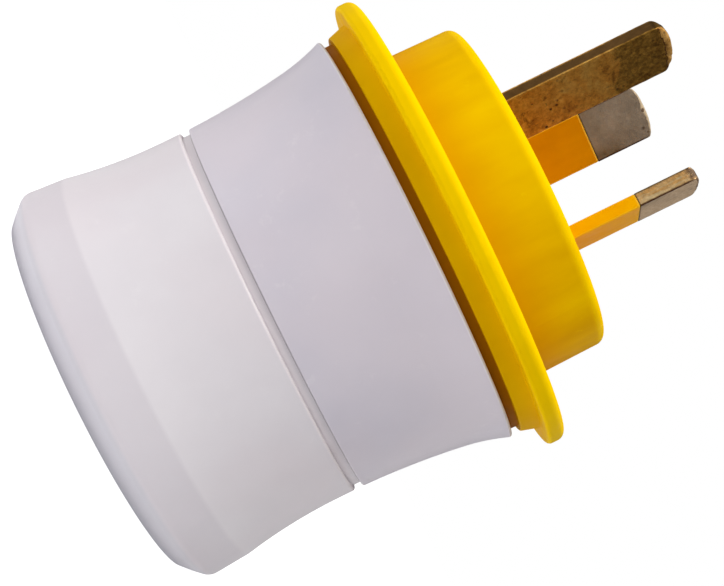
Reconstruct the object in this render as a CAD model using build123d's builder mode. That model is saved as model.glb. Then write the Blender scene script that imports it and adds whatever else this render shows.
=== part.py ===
from build123d import *
import os
from math import atan2, cos, degrees, radians, sin, sqrt

# Travel adapter: a round earthed socket in a white waisted body, and a yellow head with three flat pins.
# Millimetres. The origin is the middle of the socket's rim, and +Z runs along the body to the pins.
# The earth pin lies towards -Y, and the live pin towards +X.

# Clearances
slip = 0.05  # around a pin, blade or rivet in its hole
fit = 0.1  # between mouldings that slide together
play = 0.3  # between fixed and moving faces

# Socket, as its plug needs it
recess_r = 19.6
recess_depth = 17.5
socket_pin_length = 19.0
socket_pin_spacing = 19.0
pin_hole_r = 2.65
pin_hole_lead = 0.3
guide_width = 4.6
guide_reach = 1.2
guide_start = 3.0

# Front shell
front_length = 20.9
waist_wall = 2.6
waist_straight = 2.0
front_swell = 1.52  # how far the corner stands out from the waist
rim_inset = 2.37
corner_length = 2.4
corner_bulge = 0.05
corner_round = 1.6
band_length = 4.7
band_drop = 0.35
lip_round = 0.4
groove_lip_round = 0.3
groove_edge = 0.2

# Joint between the shells
groove_width = 1.0
groove_depth = 0.55
spigot_length = 3.8
spigot_inset = 1.25
spigot_wall = 1.3
ledge_width = 1.2
ledge_thickness = 1.3

# Rear shell
rear_length = 17.3
low_flare_length = 6.1
low_flare_swell = 0.3
high_flare_length = 12.1
high_flare_swell = 1.0
mouth_swell = 2.4
mouth_edge = 0.25
neck_bore_depth = 3.1
neck_bore_inset = 2.0

# Yellow head
neck_spigot_length = 3.0
neck_spigot_wall = 1.4
neck_inset = 0.9
neck_gap = 1.05
step_thickness = 2.05
step_inset = 0.2
step_flare = 0.6
step_edge = 0.2
flange_reach = 2.55
flange_thickness = 2.2
flange_edge = 0.5
flange_round = 1.0
boss_r = 19.5
boss_draft = 0.2
boss_height = 8.8
boss_edge = 1.1
head_wall = 2.0

# Flat pins
blade_width = 6.35
blade_thickness = 1.63
earth_circle_r = 10.31
power_circle_r = 7.92
power_angle = 30.0
earth_length = 20.0
power_length = 17.06
sleeve_length = 9.6
sleeve_wall = 0.35
ear_reach = 1.35
ear_height = 1.5
earth_tip_round = 2.2
power_tip_rise = 1.0
tip_bevel = 0.35
blade_foot_gap = 0.8
retainer_thickness = 2.0

# Shutter
rotor_r = 12.5
rotor_hub_r = 3.2
rotor_tower_r = 1.9
rotor_arm_depth = 3.2
rotor_arm_angle = 18.0  # half the angle that one arm spans
rotor_ramp_angle = 18.0
rotor_travel = 36.0
shutter_pin_r = 1.0
shutter_pin_seat = 1.2
stop_r = 0.9
stop_circle_r = 11.0
spring_room = 1.7
spring_strip = 0.3
spring_height = 0.9
spring_pitch = 0.7
spring_half_turns = 5
spring_tail = 0.8
chamber_wall = 1.1
cover_thickness = 1.2

# Inner stack
plate_thickness = 2.0
carrier_thickness = 2.0
well_wall = 1.0
well_inside_x = 7.6
well_inside_y = 9.0
tip_room = 1.6  # past the tip of a seated socket pin

# Contacts and straps
leaf_inner_r = 2.45
leaf_thickness = 0.6
leaf_gap = 2.4
leaf_length = 9.5
contact_thickness = 0.8
clamp_thickness = 0.45
clamp_height = 2.5
clamp_drop = 5.5
clamp_opening = 3.0
strap_thickness = 0.8
strap_gap = 0.5  # below the retainer
strap_margin = 0.3
foot_width = 5.2
foot_reach = 1.5
strip_thickness = 0.6
strip_width = 5.0
clip_tuck = 0.3
clip_end_length = 1.5
clip_apex_reach = 2.4  # how far the clip's bulge stands into the recess
clip_apex_z = 9.0
clip_root_length = 3.0
clip_bend = 1.0
leg_inset = 0.7
channel_depth = 1.3
channel_play = 0.7
channel_lip = 2.2
rivet_pocket = 0.8

# Screws and rivets
post_circle_r = 14.0
post_angle = 128.0
post_r = 2.6
post_joint_length = 13.5
screw_r = 1.5
screw_head_r = 2.75
screw_head_height = 2.1
screw_bite = 8.0
well_depth = 6.0
well_play = 0.2
well_rim = 1.0
small_screw_r = 1.1
small_head_r = 1.9
small_head_height = 1.3
small_bite = 4.5
boss_inset = 1.9
boss_angle = 52.0
small_boss_r = 2.1
retainer_inset = 4.5
retainer_bite = 1.2
head_round = 0.5
drive_width = 0.6
drive_depth = 0.7
drive_share = 0.65  # of the head's radius
rivet_r = 0.9
rivet_head_r = 1.5
rivet_head_height = 0.5

# Levels along Z that follow
plate_top = recess_depth + plate_thickness
ledge_top = plate_top + ledge_thickness
rear_z = front_length + groove_width
spigot_top = rear_z + spigot_length
mouth_z = rear_z + rear_length
step_z = mouth_z + neck_gap
flange_z = step_z + step_thickness
boss_z = flange_z + flange_thickness
web_z = boss_z - head_wall
plug_face = boss_z + boss_height
wall_z = plug_face - head_wall
sleeve_top = plug_face + sleeve_length
retainer_top = wall_z - ear_height
retainer_z = retainer_top - retainer_thickness
arm_z = plate_top + play
arm_top = arm_z + rotor_arm_depth
cover_z = arm_top + spring_room
carrier_z = cover_z + cover_thickness
carrier_top = carrier_z + carrier_thickness
strip_top = carrier_top + strip_thickness
contact_z = recess_depth + socket_pin_length + tip_room
contact_top = contact_z + contact_thickness
foot_top = contact_top + strap_thickness
blade_foot = foot_top + blade_foot_gap
riser_top = retainer_z - strap_gap
rivet_z = (blade_foot + riser_top) / 2
post_joint = plate_top + post_joint_length
head_seat = plug_face - well_depth

# Radii and widths that follow
waist_r = recess_r + waist_wall
front_r = waist_r + front_swell
band_r = front_r - band_drop
rim_r = front_r - rim_inset
band_z = corner_length + band_length
groove_r = waist_r - groove_depth
spigot_r = waist_r - spigot_inset
spigot_bore_r = spigot_r - spigot_wall
rear_bore_r = spigot_r + fit
ledge_r = recess_r - ledge_width
plate_r = recess_r - slip
channel_r = recess_r + channel_depth
channel_width = strip_width + 2 * channel_play
mouth_r = waist_r + mouth_swell
neck_bore_r = mouth_r - neck_bore_inset
neck_spigot_r = neck_bore_r - fit
neck_spigot_bore_r = neck_spigot_r - neck_spigot_wall
neck_r = mouth_r - neck_inset
step_r = mouth_r - step_inset
flange_r = mouth_r + flange_reach
boss_bore_r = boss_r - head_wall
retainer_circle_r = boss_bore_r - retainer_inset
chamber_r = rotor_r + play
leg_y = spigot_bore_r - leg_inset - strip_thickness / 2
leg_inner_y = leg_y - strip_thickness / 2
cover_r = leg_inner_y - play
carrier_r = leg_inner_y - clip_bend
boss_circle_r = carrier_r - boss_inset
core_width = blade_width - 2 * sleeve_wall
core_thickness = blade_thickness - 2 * sleeve_wall
ear_width = blade_width + 2 * ear_reach
contact_x = socket_pin_spacing / 2
clamp_r = leaf_inner_r + leaf_thickness + slip
well_outside_x = well_inside_x + 2 * well_wall
well_outside_y = well_inside_y + 2 * well_wall
head_well_r = screw_head_r + well_play
head_post_r = head_well_r + well_rim


def on_circle(radius, angle):
    """The point at that angle on a circle around the axis."""
    return radius * cos(radians(angle)), radius * sin(radians(angle))


def opposite_pair(radius, angle):
    """That point and the one across the axis from it."""
    x, y = on_circle(radius, angle)
    return [(x, y), (-x, -y)]


def level(height):
    """The plane across the axis at that height."""
    return Plane.XY.offset(height)


def disc(radius, low, high, mode=Mode.ADD):
    """A round disc on the axis between two heights, in the part that is open."""
    rods(radius, [(0, 0)], low, high, mode)


def rods(radius, places, low, high, mode=Mode.ADD):
    """Round rods or holes at several places between two heights, in the part that is open."""
    with BuildSketch(level(low)) as ends:
        with Locations(*places):
            Circle(radius)
    extrude(ends.sketch, amount=high - low, mode=mode)


def holes(radius, places, low, high):
    """Round holes at several places between two heights."""
    rods(radius, places, low, high, Mode.SUBTRACT)


def post_notches(low, high):
    """Notches in a disc's edge that fit around the screw posts, between two heights."""
    with BuildSketch(level(low)) as ends:
        with PolarLocations(post_circle_r, len(post_places), post_angle):
            Circle(post_r + fit)
            Rectangle(cover_r, 2 * (post_r + fit), align=(Align.MIN, Align.CENTER))
    extrude(ends.sketch, amount=high - low, mode=Mode.SUBTRACT)


def blade_frame(x, y, angle):
    """The frame of one flat pin: its x runs across the pin's broad side, and its z along the body."""
    return Plane(origin=(x, y, 0), x_dir=(cos(radians(angle)), sin(radians(angle)), 0), z_dir=(0, 0, 1))


def face_plane(frame, offset=0.0, height=0.0):
    """The plane of a pin's broad side, drawn with x across the pin and y along the body."""
    return Plane(
        origin=frame.from_local_coords((0, offset, height)),
        x_dir=frame.x_dir,
        z_dir=-frame.y_dir,
    )


live_x, live_y = on_circle(power_circle_r, power_angle)
live_frame = blade_frame(live_x, live_y, 90 + power_angle)
neutral_frame = blade_frame(-live_x, live_y, 270 - power_angle)
earth_frame = blade_frame(0, -earth_circle_r, -90)
blade_frames = (live_frame, neutral_frame, earth_frame)

# The straps' foot rivets, in the frames of the pins that they serve, clear of the risers
rivet_y = blade_thickness / 2 - rivet_head_r - strap_margin
live_spot = (live_frame.to_local_coords(Vector(contact_x, 0, 0)).X, rivet_y)
neutral_spot = (neutral_frame.to_local_coords(Vector(-contact_x, 0, 0)).X, rivet_y)
earth_spot = (0, rivet_y)
spots = (live_spot, neutral_spot, earth_spot)
live_rivet, neutral_rivet, earth_rivet_place = [
    (place.X, place.Y)
    for place in [frame.from_local_coords((*spot, 0)) for frame, spot in zip(blade_frames, spots)]
]

pin_places = [(-contact_x, 0), (contact_x, 0)]
post_places = opposite_pair(post_circle_r, post_angle)
boss_places = opposite_pair(boss_circle_r, boss_angle)
retainer_places = opposite_pair(retainer_circle_r, boss_angle)
stop_swing = degrees((stop_r + play) / stop_circle_r)
rest_stop_angle = -rotor_arm_angle - stop_swing
rest_stops = opposite_pair(stop_circle_r, rest_stop_angle)
open_stops = opposite_pair(stop_circle_r, rotor_arm_angle + rotor_travel + stop_swing)


# White front shell, with guide ribs and clip channels in the recess, a ledge and a spigot
with BuildPart() as front_shell:
    with BuildSketch(Plane.XZ):
        with BuildLine():
            Line((recess_r, 0), (rim_r, 0))
            SagittaArc((rim_r, 0), (front_r, corner_length), -corner_bulge)
            Line((front_r, corner_length), (band_r, band_z))
            waist_start = (waist_r, front_length - waist_straight)
            TangentArc(waist_start, (band_r, band_z), tangent=(0, -1))
            Polyline(
                waist_start,
                (waist_r, front_length),
                (groove_r, front_length),
                (groove_r, rear_z),
                (spigot_r, rear_z),
                (spigot_r, spigot_top),
                (spigot_bore_r, spigot_top),
                (spigot_bore_r, ledge_top),
                (ledge_r, ledge_top),
                (ledge_r, plate_top),
                (recess_r, plate_top),
                (recess_r, 0),
            )
        make_face()
        fillet(vertices().sort_by_distance((recess_r, 0))[0], lip_round)
        fillet(vertices().sort_by_distance((front_r, corner_length))[0], corner_round)
        fillet(vertices().sort_by_distance((waist_r, front_length))[0], groove_lip_round)
    revolve(axis=Axis.Z)
    with BuildSketch(level(guide_start)):
        with Locations((-recess_r, 0), (recess_r, 0)):
            Rectangle(2 * guide_reach, guide_width)
    extrude(amount=plate_top - guide_start)
    with BuildSketch(level(channel_lip)):
        Rectangle(channel_width, 2 * channel_r)
    extrude(amount=ledge_top - channel_lip, mode=Mode.SUBTRACT)

# White rear shell, a flared sleeve between the front shell's shoulder and the yellow head
with BuildPart() as rear_shell:
    with BuildSketch(Plane.XZ):
        with BuildLine():
            low_flare = (waist_r + low_flare_swell, rear_z + low_flare_length)
            high_flare = (waist_r + high_flare_swell, rear_z + high_flare_length)
            gentle = ThreePointArc((waist_r, rear_z), low_flare, high_flare)
            TangentArc(high_flare, (mouth_r, mouth_z), tangent=gentle % 1)
            neck_bore_start = (neck_bore_r, mouth_z - neck_bore_depth)
            Polyline((mouth_r, mouth_z), (neck_bore_r, mouth_z), neck_bore_start)
            TangentArc((rear_bore_r, spigot_top), neck_bore_start, tangent=(0, 1))
            Polyline((rear_bore_r, spigot_top), (rear_bore_r, rear_z), (waist_r, rear_z))
        make_face()
        fillet(vertices().sort_by_distance((mouth_r, mouth_z))[0], mouth_edge)
        fillet(vertices().sort_by_distance((waist_r, rear_z))[0], groove_edge)
    revolve(axis=Axis.Z)

# Yellow plug head: one hollow moulding, with posts for the long screws and pegs for the retainer
with BuildPart() as plug_base:
    with BuildSketch(Plane.XZ):
        with BuildLine():
            Polyline(
                (0, plug_face),
                (boss_r, plug_face),
                (boss_r + boss_draft, boss_z),
                (flange_r, boss_z),
                (flange_r, flange_z),
                (step_r + step_flare, flange_z),
                (step_r, step_z),
                (neck_r, step_z),
                (neck_r, mouth_z),
                (neck_spigot_r, mouth_z),
                (neck_spigot_r, mouth_z - neck_spigot_length),
                (neck_spigot_bore_r, mouth_z - neck_spigot_length),
                (neck_spigot_bore_r, web_z),
                (boss_bore_r, web_z),
                (boss_bore_r, wall_z),
                (0, wall_z),
                (0, plug_face),
            )
        make_face()
        fillet(vertices().sort_by_distance((boss_r, plug_face))[0], boss_edge)
        fillet(vertices().sort_by_distance((flange_r, boss_z))[0], flange_round)
        fillet(vertices().sort_by_distance((flange_r, flange_z))[0], flange_edge)
        fillet(vertices().sort_by_distance((step_r, step_z))[0], step_edge)
    revolve(axis=Axis.Z)
    rods(head_post_r, post_places, head_seat - head_wall, wall_z)
    rods(post_r, post_places, post_joint + fit, head_seat)
    rods(small_boss_r, retainer_places, retainer_top, wall_z)
    holes(screw_r + fit, post_places, post_joint + fit, head_seat)
    holes(head_well_r, post_places, head_seat, plug_face)
    holes(small_screw_r, retainer_places, retainer_top, wall_z + retainer_bite)
    for frame in blade_frames:
        with BuildSketch(frame.offset(wall_z)):
            Rectangle(blade_width + 2 * slip, blade_thickness + 2 * slip)
        extrude(amount=head_wall, mode=Mode.SUBTRACT)

# Floor of the socket recess, with the shutter chamber, the screw posts and the rotor's stops behind it
with BuildPart() as socket_plate:
    disc(plate_r, recess_depth, plate_top)
    with BuildSketch(level(plate_top)):
        Circle(chamber_r + chamber_wall)
        Circle(chamber_r, mode=Mode.SUBTRACT)
    extrude(amount=cover_z - plate_top)
    rods(post_r, post_places, plate_top, post_joint)
    rods(small_boss_r, boss_places, plate_top, cover_z)
    rods(stop_r, rest_stops + open_stops, plate_top, cover_z - play)
    holes(screw_r, post_places, post_joint - screw_bite, post_joint)
    holes(small_screw_r, boss_places, cover_z - small_bite, cover_z)
    holes(shutter_pin_r + slip, [(0, 0)], plate_top - shutter_pin_seat, plate_top)
    with BuildSketch(level(recess_depth)):
        with Locations((0, -plate_r), (0, plate_r)):
            Rectangle(channel_width, 2 * (plate_r - leg_inner_y + play))
        with Locations((-plate_r, 0), (plate_r, 0)):
            Rectangle(2 * (guide_reach + fit), guide_width + 2 * fit)
    extrude(amount=plate_thickness, mode=Mode.SUBTRACT)
    holes(pin_hole_r, pin_places, recess_depth, plate_top)
    lead_edges = edges().filter_by(GeomType.CIRCLE).group_by(Axis.Z)[0]
    chamfer(lead_edges.filter_by(lambda edge: edge.radius < pin_hole_r + fit), pin_hole_lead)

# One arm of the shutter: a sector whose underside is a ramp that a socket pin pushes aside
with BuildPart() as shutter_arm:
    with BuildSketch(level(arm_z)):
        with BuildLine():
            arm_end = CenterArc((0, 0), rotor_r, -rotor_arm_angle, 2 * rotor_arm_angle)
            Polyline(arm_end @ 1, (0, 0), arm_end @ 0)
        make_face()
    extrude(amount=rotor_arm_depth)
    ramp_slope = radians(rotor_ramp_angle)
    ramp_edge_y = rotor_r * sin(radians(rotor_arm_angle))
    split(
        bisect_by=Plane(
            origin=(0, ramp_edge_y, arm_z),
            x_dir=(1, 0, 0),
            z_dir=(0, sin(ramp_slope), cos(ramp_slope)),
        ),
        keep=Keep.TOP,
    )

# Shutter rotor: two ramped arms on a hub, with a tower that carries the spring
with BuildPart() as shutter_rotor:
    disc(rotor_hub_r, arm_z, arm_top)
    disc(rotor_tower_r, arm_top, cover_z - play)
    add(shutter_arm.part)
    add(shutter_arm.part, rotation=(0, 0, 180))
    holes(shutter_pin_r + slip, [(0, 0)], arm_z, cover_z)

with BuildPart() as shutter_pin:
    disc(shutter_pin_r, plate_top - shutter_pin_seat, carrier_z)

# Spiral spring: half circles that grow by half a pitch each, and a straight tail against a stop
with BuildPart() as shutter_spring:
    half_pitch = spring_pitch / 2
    inner_turn_r = rotor_tower_r + slip + spring_strip / 2
    tail_x = inner_turn_r + (spring_half_turns - 1) * half_pitch
    stop_x = stop_r + spring_strip / 2 + slip - tail_x
    stop_y = -sqrt(stop_circle_r**2 - stop_x**2)
    spring_turn = radians(rest_stop_angle) - atan2(stop_y, stop_x)
    spring_plane = Plane(
        origin=(0, 0, arm_top + play),
        x_dir=(cos(spring_turn), sin(spring_turn), 0),
        z_dir=(0, 0, 1),
    )
    with BuildSketch(spring_plane):
        Circle(inner_turn_r + spring_strip / 2)
        Circle(inner_turn_r - spring_strip / 2, mode=Mode.SUBTRACT)
        with BuildLine():
            for turn in range(spring_half_turns):
                odd = turn % 2
                CenterArc((odd * half_pitch, 0), inner_turn_r + turn * half_pitch, 180 * odd, 180)
            Line((-tail_x, 0), (-tail_x, stop_y - spring_tail))
        trace(line_width=spring_strip)
    extrude(amount=spring_height)

with BuildPart() as shutter_cover:
    disc(cover_r, cover_z, carrier_z)
    holes(pin_hole_r, pin_places, cover_z, carrier_z)
    post_notches(cover_z, carrier_z)
    holes(small_screw_r + fit, boss_places, cover_z, carrier_z)
    holes(shutter_pin_r + slip, [(0, 0)], cover_z, carrier_z)

# Insulating carrier: a plate with one open well around each socket contact
with BuildPart() as contact_carrier:
    disc(carrier_r, carrier_z, carrier_top)
    with BuildSketch(level(carrier_top)):
        with Locations(*pin_places):
            Rectangle(well_outside_x, well_outside_y)
            Rectangle(well_inside_x, well_inside_y, mode=Mode.SUBTRACT)
    extrude(amount=contact_z - carrier_top)
    holes(pin_hole_r, pin_places, carrier_z, carrier_top)
    post_notches(carrier_z, carrier_top)
    holes(small_screw_r + fit, boss_places, carrier_z, carrier_top)
    holes(rivet_r + slip, [earth_rivet_place], carrier_z, carrier_top)
    holes(rivet_head_r + fit, [earth_rivet_place], carrier_z, carrier_z + rivet_pocket)


def screws(places, seat, side, shank_r, length, head_r, head_height):
    """Cross-headed screws whose heads stand on the seat, to +Z where side is 1 and -Z where it is -1."""
    plane = Plane(origin=(0, 0, seat), x_dir=(1, 0, 0), z_dir=(0, 0, side))
    spots = [(x, side * y) for x, y in places]
    slot = 2 * head_r * drive_share
    with BuildPart() as group:
        with BuildSketch(plane):
            with Locations(*spots):
                Circle(head_r)
        extrude(amount=head_height)
        fillet(edges().group_by(Axis.Z)[-1 if side > 0 else 0], head_round)
        with BuildSketch(plane.offset(head_height - drive_depth)):
            with Locations(*spots):
                Rectangle(slot, drive_width)
                Rectangle(drive_width, slot)
        extrude(amount=drive_depth, mode=Mode.SUBTRACT)
        with BuildSketch(plane):
            with Locations(*spots):
                Circle(shank_r)
        extrude(amount=-length)
    return group


small_head = (small_head_r, small_head_height)
carrier_screw_length = carrier_top - cover_z + small_bite
retainer_screw_length = wall_z + retainer_bite - retainer_z
assembly_screw_length = head_seat - post_joint + screw_bite
carrier_screws = screws(boss_places, carrier_top, 1, small_screw_r, carrier_screw_length, *small_head)
retainer_screws = screws(
    retainer_places, retainer_z, -1, small_screw_r, retainer_screw_length, *small_head
)
assembly_screws = screws(
    post_places, head_seat, 1, screw_r, assembly_screw_length, screw_head_r, screw_head_height
)


def socket_contact(x, rivet_place):
    """A socket contact: a plate on its well, and two curved leaves that grip the pin."""
    with BuildPart() as piece:
        with BuildSketch(level(contact_z)):
            with Locations((x, 0)):
                Rectangle(well_outside_x, well_outside_y)
            with Locations(rivet_place):
                Circle(rivet_r + slip, mode=Mode.SUBTRACT)
        extrude(amount=contact_thickness)
        with BuildSketch(level(contact_z)):
            with Locations((x, 0)):
                Circle(leaf_inner_r + leaf_thickness)
                Circle(leaf_inner_r, mode=Mode.SUBTRACT)
                Rectangle(well_inside_x, leaf_gap, mode=Mode.SUBTRACT)
        extrude(amount=-leaf_length)
    return piece


def clamp_spring(x, side):
    """A steel ring around a contact's leaves, open on the side away from the axis."""
    top = contact_z - clamp_drop
    with BuildPart() as piece:
        with BuildSketch(level(top)):
            with Locations((x, 0)):
                Circle(clamp_r + clamp_thickness)
                Circle(clamp_r, mode=Mode.SUBTRACT)
            with Locations((x + side * clamp_r, 0)):
                Rectangle(clamp_r, clamp_opening, mode=Mode.SUBTRACT)
        extrude(amount=-clamp_height)
    return piece


def strap(frame, spot, base):
    """A bent strap: a foot riveted down at the spot, and a riser along the pin's broad side."""
    spot_x, spot_y = spot
    side = blade_thickness / 2
    foot_low = spot_y - foot_reach
    foot_high = side + strap_thickness
    riser_reach = rivet_head_r + strap_margin
    riser_left = min(spot_x - foot_width / 2, -riser_reach)
    riser_right = max(spot_x + foot_width / 2, riser_reach)
    with BuildPart() as piece:
        with BuildSketch(frame.offset(base)):
            with Locations((spot_x, (foot_low + foot_high) / 2)):
                Rectangle(foot_width, foot_high - foot_low)
            with Locations(spot):
                Circle(rivet_r + slip, mode=Mode.SUBTRACT)
        extrude(amount=strap_thickness)
        with BuildSketch(face_plane(frame, side)):
            with Locations((spot_x, (base + riser_top) / 2)):
                Rectangle(foot_width, riser_top - base)
            with Locations(((riser_left + riser_right) / 2, (blade_foot + riser_top) / 2)):
                Rectangle(riser_right - riser_left, riser_top - blade_foot)
            with Locations((0, rivet_z)):
                Circle(rivet_r + slip, mode=Mode.SUBTRACT)
        extrude(amount=-strap_thickness)
    return piece


def rivets(planes, grip):
    """Rivets with a head at each end of their grip, one from each plane along its normal."""
    with BuildPart() as group:
        for plane in planes:
            with BuildSketch(plane):
                Circle(rivet_r)
            extrude(amount=grip)
            with BuildSketch(plane, plane.offset(grip + rivet_head_height)):
                Circle(rivet_head_r)
            extrude(amount=-rivet_head_height)
    return group


live_contact = socket_contact(contact_x, live_rivet)
neutral_contact = socket_contact(-contact_x, neutral_rivet)
live_clamp_spring = clamp_spring(contact_x, 1)
neutral_clamp_spring = clamp_spring(-contact_x, -1)
live_strap = strap(live_frame, live_spot, contact_top)
neutral_strap = strap(neutral_frame, neutral_spot, contact_top)
earth_strap = strap(earth_frame, earth_spot, strip_top)

contact_rivets = rivets(
    [Plane(origin=(x, y, contact_z), z_dir=(0, 0, 1)) for x, y in (live_rivet, neutral_rivet)],
    contact_thickness + strap_thickness,
)
blade_rivets = rivets(
    [face_plane(frame, blade_thickness / 2 + strap_thickness, rivet_z) for frame in blade_frames],
    blade_thickness + strap_thickness,
)
earth_rivet = rivets(
    [Plane(origin=(*earth_rivet_place, carrier_z + rivet_pocket), z_dir=(0, 0, 1))],
    strip_top + strap_thickness - carrier_z - rivet_pocket,
)

# Both earth clips in one bent strip, which crosses the carrier between its wells
with BuildPart() as earth_bracket:
    tuck_y = channel_r - clip_tuck - strip_thickness / 2
    apex_y = recess_r - clip_apex_reach + strip_thickness / 2
    bar_z = carrier_top + strip_thickness / 2
    clip_side = [
        (tuck_y, channel_lip + clip_end_length),
        (apex_y, clip_apex_z),
        (leg_y, recess_depth - clip_root_length),
        (leg_y, bar_z),
    ]
    other_side = [(-y, z) for y, z in reversed(clip_side)]
    with BuildSketch(Plane.YZ):
        with BuildLine():
            FilletPolyline(*clip_side, *other_side, radius=clip_bend)
        trace(line_width=strip_thickness)
    extrude(amount=strip_width / 2, both=True)
    holes(rivet_r + slip, [earth_rivet_place], carrier_top, strip_top)


def blade_root(frame):
    """The hidden end of a flat pin: a shank with a rivet hole, and ears that seat behind the plug face."""
    with BuildSketch(face_plane(frame)) as outline:
        with Locations((0, (blade_foot + wall_z) / 2)):
            Rectangle(blade_width, wall_z - blade_foot)
        with Locations((0, wall_z - ear_height / 2)):
            Rectangle(ear_width, ear_height)
        with Locations((0, rivet_z)):
            Circle(rivet_r + slip, mode=Mode.SUBTRACT)
    extrude(outline.sketch, amount=blade_thickness / 2, both=True)


def power_blade(frame):
    """A live or neutral pin: a thinned core for the sleeve, and a full tip with an arched end."""
    with BuildPart() as piece:
        blade_root(frame)
        with BuildSketch(frame.offset(wall_z)):
            Rectangle(core_width, core_thickness)
        extrude(amount=sleeve_top - wall_z)
        with BuildSketch(face_plane(frame)):
            half = blade_width / 2
            tip_z = plug_face + power_length
            shoulder_z = tip_z - power_tip_rise
            with BuildLine():
                ThreePointArc((half, shoulder_z), (0, tip_z), (-half, shoulder_z))
                Polyline((-half, shoulder_z), (-half, sleeve_top), (half, sleeve_top), (half, shoulder_z))
            make_face()
        extrude(amount=blade_thickness / 2, both=True)
        chamfer(faces().sort_by(Axis.Z)[-1].edges(), tip_bevel)
    return piece


def sleeve(frame):
    """The insulating sleeve around a pin's core, flush with its tip."""
    with BuildPart() as piece:
        with BuildSketch(frame.offset(wall_z)):
            Rectangle(blade_width, blade_thickness)
            Rectangle(core_width, core_thickness, mode=Mode.SUBTRACT)
        extrude(amount=sleeve_top - wall_z)
    return piece


live_blade = power_blade(live_frame)
neutral_blade = power_blade(neutral_frame)
live_sleeve = sleeve(live_frame)
neutral_sleeve = sleeve(neutral_frame)

# Bare earth pin, longer than the others, with a rounded and bevelled end
with BuildPart() as earth_blade:
    blade_root(earth_frame)
    with BuildSketch(face_plane(earth_frame)):
        with Locations((0, (wall_z + plug_face + earth_length) / 2)):
            Rectangle(blade_width, plug_face + earth_length - wall_z)
        fillet(vertices().group_by(Axis.Y)[-1], earth_tip_round)
    extrude(amount=blade_thickness / 2, both=True)
    tip_edges = edges().filter_by_position(Axis.Z, sleeve_top, plug_face + earth_length)
    chamfer(tip_edges.filter_by(GeomType.CIRCLE), tip_bevel)

# Plate that holds the pins' ears against the plug face from inside
with BuildPart() as blade_retainer:
    disc(boss_bore_r - play, retainer_z, retainer_top)
    holes(head_post_r + fit, post_places, retainer_z, retainer_top)
    holes(small_screw_r + fit, retainer_places, retainer_z, retainer_top)
    for frame in blade_frames:
        with BuildSketch(frame.offset(retainer_z)):
            Rectangle(blade_width + 2 * slip, blade_thickness + 2 * slip)
        extrude(amount=retainer_thickness, mode=Mode.SUBTRACT)

pieces = {
    "front_shell": front_shell,
    "rear_shell": rear_shell,
    "plug_base": plug_base,
    "socket_plate": socket_plate,
    "shutter_rotor": shutter_rotor,
    "shutter_pin": shutter_pin,
    "shutter_spring": shutter_spring,
    "shutter_cover": shutter_cover,
    "contact_carrier": contact_carrier,
    "carrier_screws": carrier_screws,
    "live_contact": live_contact,
    "neutral_contact": neutral_contact,
    "live_clamp_spring": live_clamp_spring,
    "neutral_clamp_spring": neutral_clamp_spring,
    "live_strap": live_strap,
    "neutral_strap": neutral_strap,
    "contact_rivets": contact_rivets,
    "earth_bracket": earth_bracket,
    "earth_strap": earth_strap,
    "earth_rivet": earth_rivet,
    "live_blade": live_blade,
    "neutral_blade": neutral_blade,
    "earth_blade": earth_blade,
    "live_sleeve": live_sleeve,
    "neutral_sleeve": neutral_sleeve,
    "blade_rivets": blade_rivets,
    "blade_retainer": blade_retainer,
    "retainer_screws": retainer_screws,
    "assembly_screws": assembly_screws,
}

os.makedirs("parts", exist_ok=True)
for name, piece in pieces.items():
    piece.part.label = name
    export_step(piece.part, f"parts/{name}.step")
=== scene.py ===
from math import cos, radians, sin, tau

import bpy
import numpy as np
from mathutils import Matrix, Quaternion, Vector


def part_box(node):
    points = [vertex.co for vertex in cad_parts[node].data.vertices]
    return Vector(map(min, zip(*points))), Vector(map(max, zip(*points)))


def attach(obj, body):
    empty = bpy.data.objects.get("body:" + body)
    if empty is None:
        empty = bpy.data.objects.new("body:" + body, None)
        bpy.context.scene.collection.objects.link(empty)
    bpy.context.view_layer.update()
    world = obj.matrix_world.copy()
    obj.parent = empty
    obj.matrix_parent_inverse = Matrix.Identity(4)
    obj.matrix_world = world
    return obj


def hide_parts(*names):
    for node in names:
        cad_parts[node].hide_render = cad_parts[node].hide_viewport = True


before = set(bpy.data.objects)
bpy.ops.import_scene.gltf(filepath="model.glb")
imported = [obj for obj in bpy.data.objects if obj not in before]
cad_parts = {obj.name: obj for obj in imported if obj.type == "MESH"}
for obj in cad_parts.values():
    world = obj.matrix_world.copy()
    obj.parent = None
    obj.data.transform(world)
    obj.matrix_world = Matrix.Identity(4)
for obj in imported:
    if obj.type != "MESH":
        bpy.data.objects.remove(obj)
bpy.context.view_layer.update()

# Travel adapter: how its white shells, yellow plug head and worn flat pins look. Everything is in metres, in
# the solids' own frame: the origin is the middle of the socket's rim, +Z runs to the pins, the earth pin lies
# to -Y and the live pin to +X.

MM = 0.001

# The photograph's frame, and the camera that its pins and shells fit
PICTURE_WIDTH = 724
FOCAL_LENGTH_PX = 1856.8
SENSOR = 36.0
CAMERA_PLACE = Vector((0.14838, -0.14713, 0.02943))
CAMERA_AZIMUTH = 44.49
CAMERA_RISE = 0.49
CAMERA_ROLL = 63.9

# Soft boxes, as (azimuth and rise in degrees, watts): most of the light comes from the pins' side
BOXES = (
    (0, 90, 1.57),
    (0, 68, 2.12),
    (45, 45, 0.91),
    (90, 45, 0.08),
    (180, 12, 0.35),
    (270, 12, 0.2),
    (315, 12, 0.41),
)
BOX_SIZE = 0.3
BOX_REACH = 0.6
AIM_HEIGHT = 0.035
SKY_LIGHT = 0.08

# The floor, and the light that it gives off in red, green and blue, with more of it close to the rim
FLOOR_RADIUS = 1.5
FLOOR_CORNERS = 96
FLOOR_DROP = 0.05 * MM
FLOOR_GLOW = (0.06, 0.064, 0.072)
NEAR_GLOW = 0.2
NEAR_GLOW_START = 34 * MM
NEAR_GLOW_FULL = 27 * MM

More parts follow.
